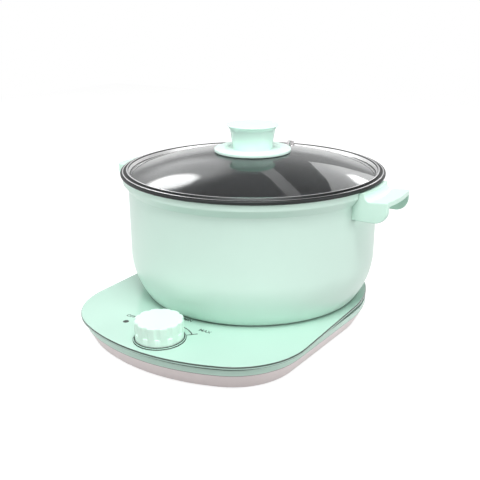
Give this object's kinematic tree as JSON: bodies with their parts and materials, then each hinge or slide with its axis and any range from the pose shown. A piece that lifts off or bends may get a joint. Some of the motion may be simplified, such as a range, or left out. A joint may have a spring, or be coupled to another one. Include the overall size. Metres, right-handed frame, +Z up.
{
  "type": "electric hot pot",
  "caption": "Round lidded pot with two hooded side handles, loose on a flat induction base with a scalloped dial; domed glass lid with a steel band, steam vent and flared knob.",
  "frame": {"origin": "centre of the bounding box at the level of the feet", "axes": "+Z up, +Y towards the back where the cord gland is, -Y towards the dial, handles along X; the pot's axis is at x 0, y 26.5 mm"},
  "size_m": [0.3046, 0.309, 0.1902],
  "materials": {
    "mint_enamel": "smooth gloss enamel, pale mint",
    "mint_plastic": "moulded, pale mint, satin to gloss",
    "white_plastic": "moulded, white",
    "shell_plastic": "moulded, warm light grey",
    "panel_glass": "toughened, printed mint on its back",
    "black_plastic": "moulded, black",
    "black_rubber": "matt",
    "tinted_glass": "tempered, domed, grey",
    "band_steel": "rolled strip, polished",
    "disc_steel": "brushed, magnetic",
    "screw_steel": "zinc plated",
    "bracket_aluminium": "as cast",
    "sink_aluminium": "extruded",
    "coil_copper": "enamelled copper strand",
    "ferrite": "sintered ferrite",
    "mica": "pressed mica",
    "circuit_board": "glass laminate, green",
    "nut_brass": "plated"
  },
  "bodies": {
    "base": {"top_panel": "panel_glass", "panel_gasket": "black_rubber", "upper_shell": "mint_plastic", "lower_shell": "shell_plastic", "feet": "black_rubber", "case_screws": "screw_steel", "cord_gland": "black_rubber", "coil_carrier": "black_plastic", "induction_coil": "coil_copper", "ferrite_bars": "ferrite", "mica_sheet": "mica", "temperature_sensor": "sink_aluminium", "carrier_screws": "screw_steel", "fan_housing": "black_plastic", "power_board": "circuit_board", "heat_sink": "sink_aluminium", "power_transistor": "black_plastic", "bridge_rectifier": "black_plastic", "filter_capacitors": "white_plastic", "choke": "ferrite", "terminal_block": "white_plastic", "control_board": "circuit_board", "potentiometer": "black_plastic", "dial_nut": "nut_brass", "dial_ring": "band_steel"},
    "dial": {"dial_knob": "mint_plastic", "dial_shaft": "screw_steel"},
    "fan": {"fan_rotor": "black_plastic"},
    "pot": {"pot_body": "mint_enamel", "induction_disc": "disc_steel", "handle_right": "mint_plastic", "handle_left": "mint_plastic", "handle_bracket_right": "bracket_aluminium", "handle_bracket_left": "bracket_aluminium", "handle_screws": "screw_steel"},
    "lid": {"lid_glass": "tinted_glass", "lid_band": "band_steel", "vent_grommet": "band_steel", "knob_seat": "mint_plastic", "lid_knob": "mint_plastic", "knob_washer": "black_rubber", "knob_screw": "screw_steel"}
  },
  "joints": [
    {"name": "dial_turn", "type": "hinge", "parent": "base", "child": "dial", "pos_m": [0, -0.1261, 0.046], "axis": [0, 0, 1], "range_deg": [-122, 0]},
    {"name": "fan_spin", "type": "hinge", "parent": "base", "child": "fan", "pos_m": [-0.0473, -0.09128, 0.011], "axis": [0, 0, 1], "continuous": true},
    {"name": "pot_lift", "type": "slide", "parent": "base", "child": "pot", "axis": [0, 0, 1], "range_m": [0, 0.06]},
    {"name": "lid_lift", "type": "slide", "parent": "pot", "child": "lid", "axis": [0, 0, 1], "range_m": [0, 0.1]}
  ]
}
